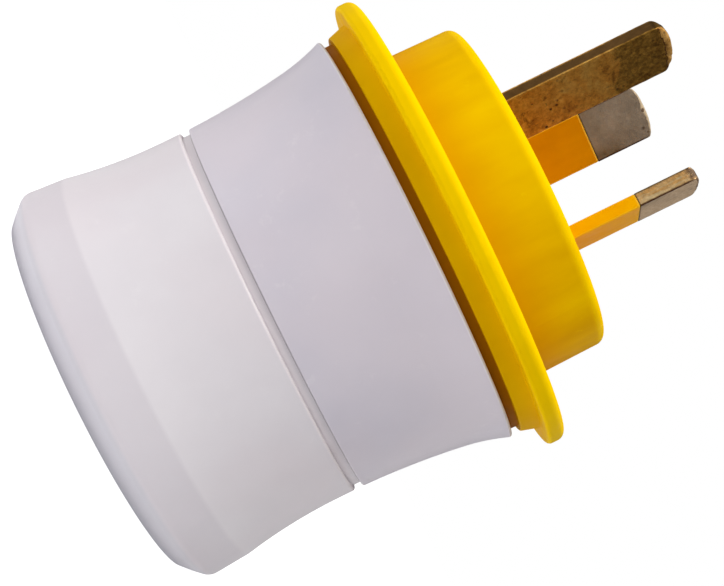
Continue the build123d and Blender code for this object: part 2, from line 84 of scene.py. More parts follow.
# Heights where the tone of a finish changes: the light alone doesn't give the body these steps, so the
# finishes have them as painted shade and painted highlights
CORNER = 2.4 * MM
BAND_END = 7.1 * MM
FRONT_END = 20.9 * MM
REAR_START = 21.9 * MM
MOUTH = 39.2 * MM
NECK_END = 40.25 * MM
FLANGE_LOW = 42.3 * MM
FLANGE_HIGH = 44.5 * MM
PLUG_FACE = 53.3 * MM
TONE_BLEND = 0.3 * MM

# The flat pins' shapes: the core is what lies inside a sleeve, and the ears hold the pin in the plug head
HALF_WIDTH = 3.175 * MM
HALF_THICKNESS = 0.815 * MM
CORE_HALF_WIDTH = 2.825 * MM
CORE_HALF_THICKNESS = 0.465 * MM
EAR_HALF_WIDTH = 4.525 * MM
EAR_LOW = 49.8 * MM
EAR_HIGH = 51.3 * MM
SLEEVE_TOP = 62.9 * MM
PIN_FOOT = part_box("earth_blade")[0][2]
EARTH_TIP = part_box("earth_blade")[1][2]
POWER_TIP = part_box("live_blade")[1][2]
JOG = 0.02 * MM
GRAIN = 0.14 * MM
EDGE_WIDTH = 0.08 * MM
EDGE_DEPTH = 0.07 * MM
EARTH = ((0.0, -10.31 * MM), -90.0)
POWER_CIRCLE = 7.92 * MM
POWER_ANGLE = 30.0

# How many points the pins' and the sleeves' grids have
FACE_POINTS = 23
ROUND_POINTS = 5
SIDE_POINTS = 7
CROWN_POINTS = 63
SHAFT_POINTS = 12
EAR_POINTS = 3
CORNER_POINTS = 6
TUBE_RINGS = 80

# The sleeves' rounded end and the small radii of their corners
LIP = 0.16 * MM
TUBE_CORNER = 0.22 * MM
LIP_CORNER = 0.2 * MM
BORE_CORNER = 0.04 * MM

# Worn unevenness: sine waves added up, and the gain that brings their mean to about 1
WAVES = 16
WAVE_GAIN = 2.4

# Points of a skin that agree to a ten-thousandth of a millimetre are one, and sharper folds stay sharp
WELDS_PER_METRE = 1e7
SHARP_FOLD = 50.0


def on_circle(radius, angle):
    return radius * cos(radians(angle)), radius * sin(radians(angle))


LIVE = (on_circle(POWER_CIRCLE, POWER_ANGLE), 90 + POWER_ANGLE)
NEUTRAL = (on_circle(POWER_CIRCLE, 180 - POWER_ANGLE), 270 - POWER_ANGLE)


class Value:
    """A shader socket that adds its Math nodes when it is used in an expression."""

    def __init__(self, finish, socket):
        self.finish = finish
        self.socket = socket

    def maths(self, operation, *values):
        return self.finish.node("ShaderNodeMath", {"operation": operation}, dict(enumerate(values)))

    def __add__(self, other):
        return self.maths("ADD", self, other)

    def __radd__(self, other):
        return self.maths("ADD", other, self)

    def __sub__(self, other):
        return self.maths("SUBTRACT", self, other)

    def __rsub__(self, other):
        return self.maths("SUBTRACT", other, self)

    def __mul__(self, other):
        return self.maths("MULTIPLY", self, other)

    def __rmul__(self, other):
        return self.maths("MULTIPLY", other, self)

    def __abs__(self):
        return self.maths("ABSOLUTE", self)

    def higher(self, other):
        return self.maths("MAXIMUM", self, other)

    def lower(self, other):
        return self.maths("MINIMUM", self, other)


class Finish:
    """One material, with the shader's own settings and the nodes that vary them over the surface."""

    def __init__(self, name, **settings):
        self.material = bpy.data.materials.new(name)
        self.material.use_nodes = True
        self.nodes = self.material.node_tree.nodes
        self.links = self.material.node_tree.links
        self.shader = next(n for n in self.nodes if n.type == "BSDF_PRINCIPLED")
        for socket, value in settings.items():
            self.feed(self.shader.inputs[socket.replace("_", " ")], value)
        self.place = self.node("ShaderNodeTexCoord", output="Object")

    def node(self, kind, settings=None, inputs=None, output=0):
        """A node of that type: its settings are set first, then the values or links of its sockets."""
        made = self.nodes.new(kind)
        for name, setting in (settings or {}).items():
            if name == "stops":
                self.set_stops(made.color_ramp, setting)
            else:
                setattr(made, name, setting)
        for name, value in (inputs or {}).items():
            self.feed(self.socket_of(made.inputs, name), value)
        return Value(self, self.socket_of(made.outputs, output))

    @staticmethod
    def socket_of(sockets, name):
        if isinstance(name, int):
            return sockets[name]
        return next(s for s in sockets if s.name == name and s.enabled)

    @staticmethod
    def set_stops(ramp, stops):
        while len(ramp.elements) < len(stops):
            ramp.elements.new(1.0)
        for element, (position, colour) in zip(ramp.elements, stops):
            element.position = position
            element.color = (*colour, 1.0)

    def feed(self, socket, value):
        if isinstance(value, Value):
            self.links.new(value.socket, socket)
        elif socket.type == "RGBA":
            socket.default_value = (*value, 1.0)
        else:
            socket.default_value = value

    def varies(self, **inputs):
        """Links the shader's own sockets that change over the surface."""
        for name, value in inputs.items():
            self.feed(self.shader.inputs[name.replace("_", " ")], value)

    def axes(self, place=None):
        """The x, y and z of a place on the piece, as three values."""
        split = self.nodes.new("ShaderNodeSeparateXYZ")
        self.feed(split.inputs[0], place or self.place)
        return [Value(self, output) for output in split.outputs]

    def stretched(self, scale, place=None):
        """The place with its axes scaled, so that a pattern gets longer or shorter along them."""
        inputs = {"Vector": place or self.place, "Scale": scale}
        return self.node("ShaderNodeMapping", {"vector_type": "POINT"}, inputs)

    def turned(self, centre, angle, place=None):
        """The place in the frame of something that stands at that centre, turned by that angle."""
        rotation = (0.0, 0.0, radians(angle))
        inputs = {"Vector": place or self.place, "Location": (*centre, 0.0), "Rotation": rotation}
        return self.node("ShaderNodeMapping", {"vector_type": "TEXTURE"}, inputs)

    def marked(self, name):
        """A number from 0 to 1 that the piece's own mesh carries."""
        return self.node("ShaderNodeAttribute", {"attribute_name": name}, output="Fac")

    def noise(self, size, detail=3.0, roughness=0.5, place=None, distortion=0.0):
        """Soft noise from 0 to 1 whose features are about that size."""
        return self.node(
            "ShaderNodeTexNoise",
            inputs={
                "Vector": place or self.place,
                "Scale": 1.0 / size,
                "Detail": detail,
                "Roughness": roughness,
                "Distortion": distortion,
            },
        )

    def cells(self, size, place=None, output="Distance"):
        """Distance from points scattered about that far apart, or another output of their cells."""
        inputs = {"Vector": place or self.place, "Scale": 1.0 / size}
        return self.node("ShaderNodeTexVoronoi", {"feature": "F1"}, inputs, output)

    def step(self, value, low, high, start=0.0, end=1.0):
        """Goes smoothly from start to end as the value goes from low to high."""
        return self.node(
            "ShaderNodeMapRange",
            {"interpolation_type": "SMOOTHSTEP"},
            {"Value": value, "From Min": low, "From Max": high, "To Min": start, "To Max": end},
        )

    def mix(self, share, first, second, blend="MIX"):
        """The first colour where the share is 0, and the second where it is 1."""
        return self.node(
            "ShaderNodeMix",
            {"data_type": "RGBA", "blend_type": blend},
            {"Factor": share, "A": first, "B": second},
            output="Result",
        )

    def ramp(self, share, *stops):
        return self.node("ShaderNodeValToRGB", {"stops": stops}, {"Fac": share})

    def bump(self, height, depth, strength=1.0):
        """Normals of a surface that this height, from 0 to 1, raises by that depth."""
        inputs = {"Height": height, "Distance": depth, "Strength": strength}
        return self.node("ShaderNodeBump", inputs=inputs)

    def specks(self, spacing, radius, share, place=None):
        """A few round specks: 1 inside them, in that share of the cells."""
        distance = self.cells(spacing, place)
        tone = self.axes(self.cells(spacing, place, "Color"))[0]
        chosen = self.step(tone, share, share * 0.9)
        return chosen * self.step(distance, radius / spacing, 0.4 * radius / spacing)


def srgb(red, green, blue):
    """A colour given as it looks on the screen, from 0 to 255, as the linear light that a shader takes."""
    shares = np.array([red, green, blue]) / 255.0
    return tuple(np.where(shares <= 0.04045, shares / 12.92, ((shares + 0.055) / 1.055) ** 2.4).tolist())


def white_plastic(name, shade, tone):
    """Satin white moulding, slightly lilac, with faint clouding, fine grain and a few specks.

    By height it has painted shade on the rim and band, painted light on the groove's lip and floor, a painted
    shadow at the rear shell's edge and a painted highlight at the mouth.
    """
    finish = Finish(name, IOR=1.49, Specular_IOR_Level=0.4)
    z = finish.axes()[2]
    cloud = finish.noise(14 * MM, 4)
    grain = finish.noise(0.35 * MM, 2)
    base = finish.ramp(cloud, (0.3, srgb(*shade)), (0.7, srgb(*tone)))
    rub = finish.step(finish.noise(3 * MM, 6, 0.7), 0.58, 0.74, 0.0, 0.25)
    base = finish.mix(rub, base, srgb(244, 240, 243))
    tint = finish.noise(22 * MM, 2)
    base = finish.mix(finish.step(tint, 0.35, 0.65, 0.3, 0.0), base, srgb(238, 224, 228))
    # Painted shade: darker below the band's upper crease
    band = finish.step(z, BAND_END + TONE_BLEND, BAND_END - TONE_BLEND, 0.0, 0.35)
    base = finish.mix(band, base, srgb(208, 200, 208))
    # Painted shade: bluish grey and darker on the rim's chamfer
    rim = finish.step(z, CORNER + TONE_BLEND, CORNER - TONE_BLEND, 0.0, 0.45)
    base = finish.mix(rim, base, srgb(196, 198, 206))
    # Painted highlight on the front shell's lip, and painted light that lifts the groove's floor
    groove = finish.step(z, FRONT_END - 0.35 * MM, FRONT_END - 0.15 * MM)
    groove = groove * finish.step(z, REAR_START, FRONT_END)
    base = finish.mix(groove * 0.8, base, srgb(255, 246, 249))
    # Painted shadow: a dark line at the rear shell's edge, in the groove
    painted_seam_shadow = finish.step(abs(z - REAR_START), 0.12 * MM, 0.03 * MM)
    base = finish.mix(painted_seam_shadow * 0.6, base, srgb(104, 94, 98))
    # Painted highlight: a pale line along the rear shell's mouth
    mouth = finish.step(z, MOUTH - 0.4 * MM, MOUTH - 0.25 * MM)
    base = finish.mix(mouth * 0.6, base, srgb(250, 246, 250))
    base = finish.mix(finish.specks(9 * MM, 0.24 * MM, 0.28), base, srgb(96, 78, 74))
    streaks = finish.noise(0.5 * MM, 4, 0.6, finish.stretched((1.0, 1.0, 0.12)))
    finish.varies(
        Base_Color=base,
        Roughness=finish.step(streaks, 0.3, 0.75, 0.36, 0.46) + 0.06 * grain,
        Normal=finish.bump(grain * 0.35 + cloud, 0.035 * MM, 0.3),
    )
    return finish.material


def yellow_plastic():
    """Yellow moulding with next to no reflection: flow marks along its sides, rubbed spots and a few specks.

    By height it has painted shade on the neck, the step ring and the boss foot, and painted highlights on the
    flange and the boss top.
    """
    finish = Finish("yellow_plastic", IOR=1.5, Specular_IOR_Level=0.004, Specular_Tint=(1.0, 0.78, 0.05))
    z = finish.axes()[2]
    flow = finish.noise(7 * MM, 4, 0.55, finish.stretched((1.0, 1.0, 0.25)))
    base = finish.ramp(flow, (0.3, srgb(228, 175, 0)), (0.52, srgb(242, 194, 0)), (0.75, srgb(251, 210, 0)))
    rub = finish.step(finish.noise(1.6 * MM, 6, 0.7), 0.6, 0.74, 0.0, 0.3)
    base = finish.mix(rub, base, srgb(255, 222, 20))
    # Painted shade on the step ring below the flange and on the boss's foot above it
    below = finish.step(z, FLANGE_LOW + 0.1 * MM, FLANGE_LOW - 0.1 * MM, 0.0, 0.7)
    foot = finish.step(z, FLANGE_HIGH + 6.0 * MM, FLANGE_HIGH, 0.0, 0.7)
    foot = foot * finish.step(z, FLANGE_HIGH - 0.1 * MM, FLANGE_HIGH)
    base = finish.mix(below.higher(foot), base, srgb(221, 167, 0))
    # Painted highlights on the flange's outer band and the boss's top edge
    rim = finish.step(z, FLANGE_LOW + 0.02 * MM, FLANGE_LOW + 0.16 * MM)
    rim = rim * finish.step(z, FLANGE_HIGH + 0.05 * MM, FLANGE_HIGH)
    top = finish.step(z, PLUG_FACE - 1.5 * MM, PLUG_FACE - 0.9 * MM)
    base = finish.mix(rim.higher(top * 0.6) * 0.75, base, srgb(255, 209, 0))
    base = finish.mix(finish.specks(8 * MM, 0.2 * MM, 0.14), base, srgb(120, 84, 10))
    # Painted shade: brown in the recessed neck, inside the rear shell's mouth
    neck = finish.step(z, NECK_END + 0.06 * MM, NECK_END - 0.06 * MM)
    base = finish.mix(neck, base, srgb(164, 100, 4))
    grain = finish.noise(0.45 * MM, 3)
    finish.varies(
        Base_Color=base,
        Roughness=finish.step(finish.noise(2.5 * MM, 5, 0.65), 0.35, 0.7, 0.36, 0.5),
        Normal=finish.bump(grain * 0.3 + flow, 0.02 * MM, 0.25),
    )
    return finish.material


def pin_sleeve(name, centre, angle, deep, bright):
    """Orange insulation with little reflection: faint flow lines, a painted highlight on its edges and lip, a
    darker foot.
    """
    finish = Finish(name, IOR=1.5, Specular_IOR_Level=0.02, Specular_Tint=(1.0, 0.75, 0.15))
    place = finish.turned(centre, angle)
    z = finish.axes(place)[2]
    flow = finish.noise(2.2 * MM, 5, 0.6, finish.stretched((1.0, 1.0, 0.5), place))
    base = finish.ramp(flow, (0.3, srgb(*deep)), (0.7, srgb(*bright)))
    # Painted highlight on the sleeve's corners and end
    base = finish.mix(finish.marked("edge") * 0.5, base, srgb(255, 200, 40))
    base = finish.mix(finish.step(z, PLUG_FACE + 0.5 * MM, PLUG_FACE, 0.0, 0.5), base, srgb(150, 84, 4))
    # Painted highlight on the rounded lip at the sleeve's end
    lip = finish.step(z, SLEEVE_TOP - 0.28 * MM, SLEEVE_TOP - 0.18 * MM)
    base = finish.mix(lip * 0.35, base, srgb(250, 206, 84))
    finish.varies(
        Base_Color=base,
        Roughness=finish.step(finish.noise(1.5 * MM, 5), 0.3, 0.7, 0.3, 0.46),
        Normal=finish.bump(finish.noise(0.6 * MM, 4) * 0.4 + flow, 0.03 * MM, 0.4),
    )
    return finish.material


def scratches(finish, place):
    """Fine marks along the pin's length, 1 where one lies."""
    lines = finish.noise(0.4 * MM, 3, 0.6, finish.stretched((1.0, 1.0, 0.045), place))
    return finish.step(lines, 0.6, 0.72)


def bare_brass(centre, angle):
    """Bare tarnished brass: golden brown, olive towards its tip, pitted at its root, bright at its edges."""
    finish = Finish("bare_brass", Metallic=1.0)
    place = finish.turned(centre, angle)
    x, _, z = finish.axes(place)
    edge = finish.marked("edge")
    bevel = finish.marked("bevel")
    side = finish.marked("side").higher(finish.marked("end"))
    patch = finish.noise(3.0 * MM, 6, 0.62, place, 0.4)
    fine = finish.noise(0.8 * MM, 5, 0.7, place)
    grain = finish.noise(0.35 * MM, 3, 0.7, place)
    base = finish.ramp(
        patch * 0.45 + fine * 0.3 + grain * 0.25,
        (0.38, srgb(150, 98, 36)),
        (0.47, srgb(204, 146, 62)),
        (0.54, srgb(230, 174, 82)),
        (0.62, srgb(250, 204, 112)),
    )
    mottle = fine * 0.5 + patch * 0.25 + grain * 0.25
    tarnish = finish.ramp(
        mottle,
        (0.4, srgb(108, 76, 28)),
        (0.5, srgb(158, 116, 48)),
        (0.6, srgb(208, 158, 72)),
    )
    olive = finish.step(z + (patch - 0.5) * (7 * MM) - x * 0.25, EARTH_TIP - 7.2 * MM, EARTH_TIP - 6.4 * MM)
    base = finish.mix(olive * finish.step(fine, 0.22, 0.4, 0.7, 1.0), base, tarnish)
    stain = finish.step(finish.noise(1.3 * MM, 5, 0.7, place, 0.5), 0.57, 0.68, 0.0, 0.6)
    base = finish.mix(stain, base, srgb(98, 60, 18))
    base = finish.mix(side, base, finish.mix(fine, srgb(72, 50, 22), srgb(108, 78, 40)))
    chipped = edge * finish.step(finish.noise(1.4 * MM, 4, 0.6, place), 0.5, 0.6, 0.0, 0.4)
    worn = chipped.higher(bevel * finish.step(fine, 0.3, 0.5, 0.7, 1.0))
    bared = finish.mix(finish.step(fine, 0.36, 0.6), srgb(160, 116, 54), srgb(202, 160, 92))
    base = finish.mix(worn, base, bared)
    rim = finish.step(bevel, 0.03, 0.3) * finish.step(bevel, 0.8, 0.4) * finish.step(fine, 0.36, 0.5)
    base = finish.mix(rim, base, srgb(84, 40, 14))
    root = finish.step(z, PLUG_FACE + 8.5 * MM, PLUG_FACE + 4.0 * MM, 0.1, 1.0).higher(olive * 0.35)
    pits = finish.specks(0.8 * MM, 0.24 * MM, 0.6, place) * root * (1.0 - side)
    base = finish.mix((pits * 1.2).lower(0.9), base, srgb(48, 25, 10))
    marks = scratches(finish, place)
    finish.varies(
        Base_Color=finish.mix(marks * 0.2, base, srgb(230, 180, 104)),
        Roughness=finish.step(patch, 0.3, 0.7, 0.52, 0.4) + 0.2 * bevel,
        Normal=finish.bump(patch * 0.6 + fine * 0.6 - pits * 1.6 - marks * 0.15, 0.045 * MM, 0.55),
    )
    return finish.material


def plated_pin(name, centre, angle, shades, worn_tip, seen_side):
    """Nickel plated pin, warm grey and grainy, worn through to pale brass along its narrow sides and tip.

    The seen side is 1 or -1, for the broad side that has painted shade along its border with the worn narrow
    side.
    """
    finish = Finish(name, Metallic=1.0)
    place = finish.turned(centre, angle)
    x, y, z = finish.axes(place)
    edge = finish.marked("edge")
    bevel = finish.marked("bevel")
    side = finish.marked("side")
    cloud = finish.noise(2.0 * MM, 5, 0.6, place)
    fine = finish.noise(0.45 * MM, 5, 0.7, place)
    dark, middle, light = (srgb(*shade) for shade in shades)
    base = finish.ramp(cloud * 0.6 + fine * 0.4, (0.34, dark), (0.5, middle), (0.66, light))
    near_tip = finish.step(z, POWER_TIP - 1.9 * MM, POWER_TIP - 0.5 * MM)
    dull = finish.step(x * -1.0, 0.9 * MM, HALF_WIDTH)
    dull = dull * finish.step(z, POWER_TIP - 3.0 * MM, POWER_TIP - 5.5 * MM)
    base = finish.mix(dull * finish.step(cloud, 0.3, 0.6, 0.3, 0.9), base, srgb(118, 92, 54))
    lengthwise = finish.noise(0.5 * MM, 4, 0.6, finish.stretched((1.0, 1.0, 0.18), place))
    cream = finish.mix(finish.step(lengthwise, 0.4, 0.66), srgb(244, 190, 118), srgb(255, 226, 172))
    base = finish.mix(side, base, cream)
    end = finish.marked("end")
    base = finish.mix(end, base, finish.mix(fine, srgb(54, 40, 30), srgb(104, 82, 62)))
    base = finish.mix(bevel * finish.step(fine, 0.3, 0.5, 0.45, 0.95), base, srgb(*worn_tip))
    # Painted shade: a dark line along the seen broad side's border with the narrow side
    painted_edge_shade = finish.step(abs(x), HALF_WIDTH - 0.24 * MM, HALF_WIDTH - 0.12 * MM)
    painted_edge_shade = painted_edge_shade * (1.0 - side) * (1.0 - near_tip)
    line = edge.higher(painted_edge_shade) * finish.step(y * seen_side, -0.3 * MM, 0.3 * MM)
    line = line * finish.step(fine, 0.3, 0.42, 0.3, 1.0)
    base = finish.mix(line * 0.9, base, srgb(86, 46, 28))
    # Painted shade where the pin comes out of its sleeve
    painted_seat_shade = finish.step(z, SLEEVE_TOP + 0.16 * MM, SLEEVE_TOP + 0.05 * MM)
    base = finish.mix(painted_seat_shade * 0.55, base, srgb(74, 52, 34))
    chips = finish.specks(0.7 * MM, 0.3 * MM, 0.45, place) * near_tip * finish.step(x, 1.4 * MM, 0.2 * MM)
    chips = chips.higher(side * near_tip * finish.step(fine, 0.42, 0.52))
    base = finish.mix((chips * 1.2).lower(0.85), base, srgb(78, 46, 24))
    blunt = side.higher(edge) * near_tip
    base = finish.mix(blunt * finish.step(fine, 0.3, 0.5, 0.6, 0.95), base, srgb(*worn_tip))
    blunt = blunt.higher(end).higher(bevel)
    finish.varies(
        Base_Color=base,
        Roughness=finish.step(fine, 0.3, 0.7, 0.5, 0.38) + 0.12 * chips + 0.32 * blunt,
        Metallic=1.0 - 0.85 * blunt,
        Normal=finish.bump(cloud * 0.5 + fine * 0.5 - chips, 0.035 * MM, 0.5),
    )
    return finish.material


def sheet_metal(name, dark, light, roughness=(0.28, 0.46), metallic=1.0):
    """Stamped or turned metal inside the adapter: soft tarnish, rolling lines and small dents."""
    finish = Finish(name, Metallic=metallic)
    cloud = finish.noise(2.5 * MM, 5, 0.6)
    rolled = finish.noise(0.3 * MM, 3, 0.5, finish.stretched((1.0, 1.0, 0.06)))
    base = finish.ramp(cloud * 0.7 + rolled * 0.3, (0.3, dark), (0.7, light))
    spots = finish.specks(2.2 * MM, 0.18 * MM, 0.2)
    finish.varies(
        Base_Color=finish.mix(spots * 0.5, base, tuple(0.35 * channel for channel in dark)),
        Roughness=finish.step(cloud, 0.3, 0.7, roughness[1], roughness[0]),
        Normal=finish.bump(rolled + cloud, 0.012 * MM, 0.5),
    )
    return finish.material


def inner_moulding(name, dark, light, roughness=(0.42, 0.6)):
    """Plain moulding inside the adapter: clouded tone, fine grain and a little dust."""
    finish = Finish(name, IOR=1.5)
    cloud = finish.noise(6 * MM, 4)
    grain = finish.noise(0.3 * MM, 2)
    base = finish.ramp(cloud, (0.3, dark), (0.7, light))
    dust = finish.step(finish.noise(2 * MM, 6, 0.7), 0.56, 0.72, 0.0, 0.3)
    finish.varies(
        Base_Color=finish.mix(dust, base, srgb(206, 200, 190)),
        Roughness=finish.step(grain, 0.3, 0.7, *roughness),
        Normal=finish.bump(grain * 0.4 + cloud, 0.03 * MM, 0.35),
    )
    return finish.material


def dress():
    """Gives every solid that stays its finish."""
    insulator = inner_moulding("insulator", srgb(176, 170, 158), srgb(200, 194, 182))
    brass = sheet_metal("contact_brass", srgb(172, 132, 66), srgb(222, 184, 112))
    rivet = sheet_metal("rivet_brass", srgb(160, 122, 60), srgb(214, 176, 104))
    spring = sheet_metal("spring_steel", srgb(96, 100, 108), srgb(150, 152, 156))
    zinc = sheet_metal("zinc_screw", srgb(150, 150, 146), srgb(206, 206, 200))
    shutter = inner_moulding("shutter_plastic", srgb(208, 206, 198), srgb(226, 224, 216), (0.3, 0.42))
    front_white = white_plastic("front_white", (230, 224, 229), (237, 232, 236))
    # The rear shell's darker tones are painted shade on the same white moulding as the front
    rear_white_painted_shade = white_plastic("rear_white_painted_shade", (214, 208, 219), (222, 216, 226))
    finishes = {
        "front_shell": front_white,
        "rear_shell": rear_white_painted_shade,
        "socket_plate": front_white,
        "plug_base": yellow_plastic(),
        "shutter_rotor": shutter,
        "shutter_pin": sheet_metal("steel_pin", srgb(140, 140, 138), srgb(196, 196, 192)),
        "earth_bracket": sheet_metal("earth_clip_metal", srgb(140, 132, 116), srgb(200, 192, 172)),
    }
    for material, nodes in (
        (insulator, ("shutter_cover", "contact_carrier", "blade_retainer")),
        (brass, ("live_contact", "neutral_contact", "live_strap", "neutral_strap", "earth_strap")),
        (rivet, ("contact_rivets", "earth_rivet", "blade_rivets")),
        (spring, ("shutter_spring", "live_clamp_spring", "neutral_clamp_spring")),
        (zinc, ("carrier_screws", "retainer_screws", "assembly_screws")),
    ):
        for node in nodes:
            finishes[node] = material
    for name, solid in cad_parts.items():
        for place in solid.material_slots:
            place.material = finishes.get(name, place.material)


def skin(name, points, marks, closed_columns, material, node):
    """A piece whose surface is a grid of points, closed along its rows, that stands for one of the solids.

    Points that share a place are welded, so that the poles and the seams close, and the faces are turned
    outwards.
    """
    rows, columns = points.shape[:2]
    index = np.arange(rows * columns).reshape(rows, columns)
    index = np.vstack([index, index[:1]])
    if closed_columns:
        index = np.hstack([index, index[:, :1]])
    around = [index[:-1, :-1], index[1:, :-1], index[1:, 1:], index[:-1, 1:]]
    quads = np.stack(around, axis=-1).reshape(-1, 4)
    flat = points.reshape(-1, 3)
    rounded = (flat * WELDS_PER_METRE).round().astype(int)
    _, first, same = np.unique(rounded, axis=0, return_index=True, return_inverse=True)
    corners = flat[first]
    quads = same.ravel()[quads]
    a, b, c, d = (corners[quads[:, k]] for k in range(4))
    volume = (np.cross(b - a, c - a) * a).sum() + (np.cross(c - a, d - a) * a).sum()
    if volume < 0:
        quads = quads[:, ::-1]
    repeated = quads == np.roll(quads, 1, axis=1)
    whole = quads[repeated.sum(axis=1) == 0]
    pinched = repeated.sum(axis=1) == 1
    triangles = quads[pinched][~repeated[pinched]].reshape(-1, 3)
    mesh = bpy.data.meshes.new(name)
    mesh.from_pydata(corners.tolist(), [], whole.tolist() + triangles.tolist())
    for mark, values in marks.items():
        held = mesh.attributes.new(mark, "FLOAT", "POINT")
        held.data.foreach_set("value", values.reshape(-1)[first].astype(np.float32))
    mesh.shade_smooth()
    mesh.set_sharp_from_angle(angle=radians(SHARP_FOLD))
    mesh.materials.append(material)
    piece = bpy.data.objects.new(name, mesh)
    bpy.context.scene.collection.objects.link(piece)
    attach(piece, "housing")
    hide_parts(node)


def stood(places, centre, angle):
    """Places in a pin's own frame, turned and moved to where the pin stands."""
    x, y, z = places[..., 0], places[..., 1], places[..., 2]
    turn = radians(angle)
    turned_x = centre[0] + x * cos(turn) - y * sin(turn)
    turned_y = centre[1] + x * sin(turn) + y * cos(turn)
    return np.stack([turned_x, turned_y, z], axis=-1)


def ripple(places, size, seed):
    """Smooth noise from about -1 to 1: the mean of sine waves in random directions, about that size long."""
    source = np.random.default_rng(seed)
    waves = source.normal(size=(places.shape[-1], WAVES)) * tau / size
    return WAVE_GAIN * np.sin(places @ waves + source.uniform(0, tau, WAVES)).mean(axis=-1)


def ramp_between(low, high, value):
    """0 below low, 1 above high, and a smooth rise between."""
    share = np.clip((value - low) / (high - low), 0, 1)
    return share * share * (3 - 2 * share)


def fine_count(low, high):
    """How many rows the visible length between two heights gets."""
    return max(2, int((high - low) / GRAIN))


def side_rows(low, high, width, thickness, count):
    """Rows of half width, height and half thickness, evenly from the low height to the high one."""
    return np.column_stack([np.full(count, width), np.linspace(low, high, count), np.full(count, thickness)])


def flat_pin(name, node, stand, sleeved, tip, tip_height, squareness, bevel, material, slot, seed):
    """A flat pin's whole skin: its cross profile carried around its outline.

    The outline goes up one side, over the tip, down the other side and along the foot. The tip is the upper
    half of |x/a|^n + |z/c|^n = 1, with a half the pin's width, c the tip's height and n its squareness. A row
    runs from the pin's spine over a broad side, round the edge, across the narrow side and back: on the broad
    side it goes evenly from the spine to the edge, and round the edge the inset is w(1 - sin t) and the
    height h - d(1 - cos t), with t from 0 to 90 degrees, w and d the edge's width and depth, and h half the
    pin's thickness.
    """
    shoulder = tip - tip_height
    root = [
        (PIN_FOOT, EAR_LOW - JOG, HALF_WIDTH, HALF_THICKNESS, SHAFT_POINTS),
        (EAR_LOW, EAR_HIGH, EAR_HALF_WIDTH, HALF_THICKNESS, EAR_POINTS),
    ]
    if sleeved:
        shaft = [
            (EAR_HIGH + JOG, SLEEVE_TOP - JOG, CORE_HALF_WIDTH, CORE_HALF_THICKNESS, SHAFT_POINTS),
            (SLEEVE_TOP, shoulder, HALF_WIDTH, HALF_THICKNESS, fine_count(SLEEVE_TOP, shoulder)),
        ]
    else:
        shaft = [(EAR_HIGH + JOG, shoulder, HALF_WIDTH, HALF_THICKNESS, fine_count(EAR_HIGH, shoulder))]
    sides = np.concatenate([side_rows(*rows) for rows in root + shaft])
    turn = np.linspace(0, np.pi, CROWN_POINTS + 2)[1:-1]
    power = 2 / squareness
    crown = np.column_stack(
        [
            HALF_WIDTH * np.sign(np.cos(turn)) * np.abs(np.cos(turn)) ** power,
            shoulder + tip_height * np.sin(turn) ** power,
            np.full(turn.size, HALF_THICKNESS),
        ]
    )
    crown[:, 0] = 0.5 * (crown[:, 0] - crown[::-1, 0])
    along_foot = np.linspace(-HALF_WIDTH, HALF_WIDTH, SIDE_POINTS + 2)[1:-1]
    level = np.full((SIDE_POINTS, 2), (PIN_FOOT, HALF_THICKNESS))
    foot = np.column_stack([along_foot, level])
    left = sides[::-1] * (-1, 1, 1)
    outline = np.concatenate([sides, crown, left, foot])
    edge, half = outline[:, :2], outline[:, 2:]
    spine = np.column_stack([np.zeros(len(edge)), np.clip(edge[:, 1], PIN_FOOT + HALF_WIDTH, shoulder)])
    reach = np.linalg.norm(spine - edge, axis=1)[:, None]
    inward = (spine - edge) / reach
    at_tip = ramp_between(tip - 0.8 * tip_height, tip - 0.25 * tip_height, edge[:, 1])[:, None]
    worn = 1 + 0.3 * ripple(edge, 1.8 * MM, seed)[:, None]
    width = (EDGE_WIDTH + (bevel[0] - EDGE_WIDTH) * at_tip) * worn
    depth = (EDGE_DEPTH + (bevel[1] - EDGE_DEPTH) * at_tip) * worn

    face = np.linspace(0, 1, FACE_POINTS)
    round_off = np.linspace(0, np.pi / 2, ROUND_POINTS + 1)[1:]
    across = np.linspace(1, -1, SIDE_POINTS + 2)[1:-1]
    off_face, off_round, off_side = (np.zeros(count) for count in (FACE_POINTS, ROUND_POINTS, SIDE_POINTS))
    on_face, on_round, on_side = off_face + 1, off_round + 1, off_side + 1
    pulled_in = 1 - np.sin(round_off)
    sunk = 1 - np.cos(round_off)
    of_reach = np.concatenate([1 - face, off_round, off_side, off_round, face])
    of_width = np.concatenate([face, pulled_in, off_side, pulled_in[::-1], face[::-1]])
    of_half = np.concatenate([on_face, on_round, across, -on_round, -on_face])
    of_depth = np.concatenate([off_face, -sunk, -across, sunk[::-1], off_face])
    worn_round = np.append(on_round[1:], 0.0)
    of_edge = np.concatenate([off_face, worn_round, off_side, worn_round[::-1], off_face])
    of_side = np.concatenate([off_face, off_round, on_side, off_round, off_face])
    inset = reach * of_reach + width * of_width
    flat = edge[:, None, :] + inward[:, None, :] * inset[..., None]
    high = half * of_half + depth * of_depth
    places = np.stack([flat[..., 0], high, flat[..., 1]], axis=-1)
    swell = ripple(places[..., [0, 2]], 2.2 * MM, seed + 1) * 0.012 * MM
    places[..., 1] -= np.abs(swell) * np.sign(of_half) * (1 - at_tip)
    marks = {
        "edge": of_edge * (1 - at_tip),
        "bevel": of_edge * at_tip,
        "side": of_side * (1 - at_tip),
        "end": of_side * at_tip,
    }
    skin(name, stood(places, *stand), marks, False, material, node)


def quarter_turn(k):
    """Outward normals round a corner, from k times 90 degrees to 90 degrees further."""
    bend = np.linspace(0, np.pi / 2, CORNER_POINTS)
    return np.column_stack([np.cos(bend + k * np.pi / 2), np.sin(bend + k * np.pi / 2)])


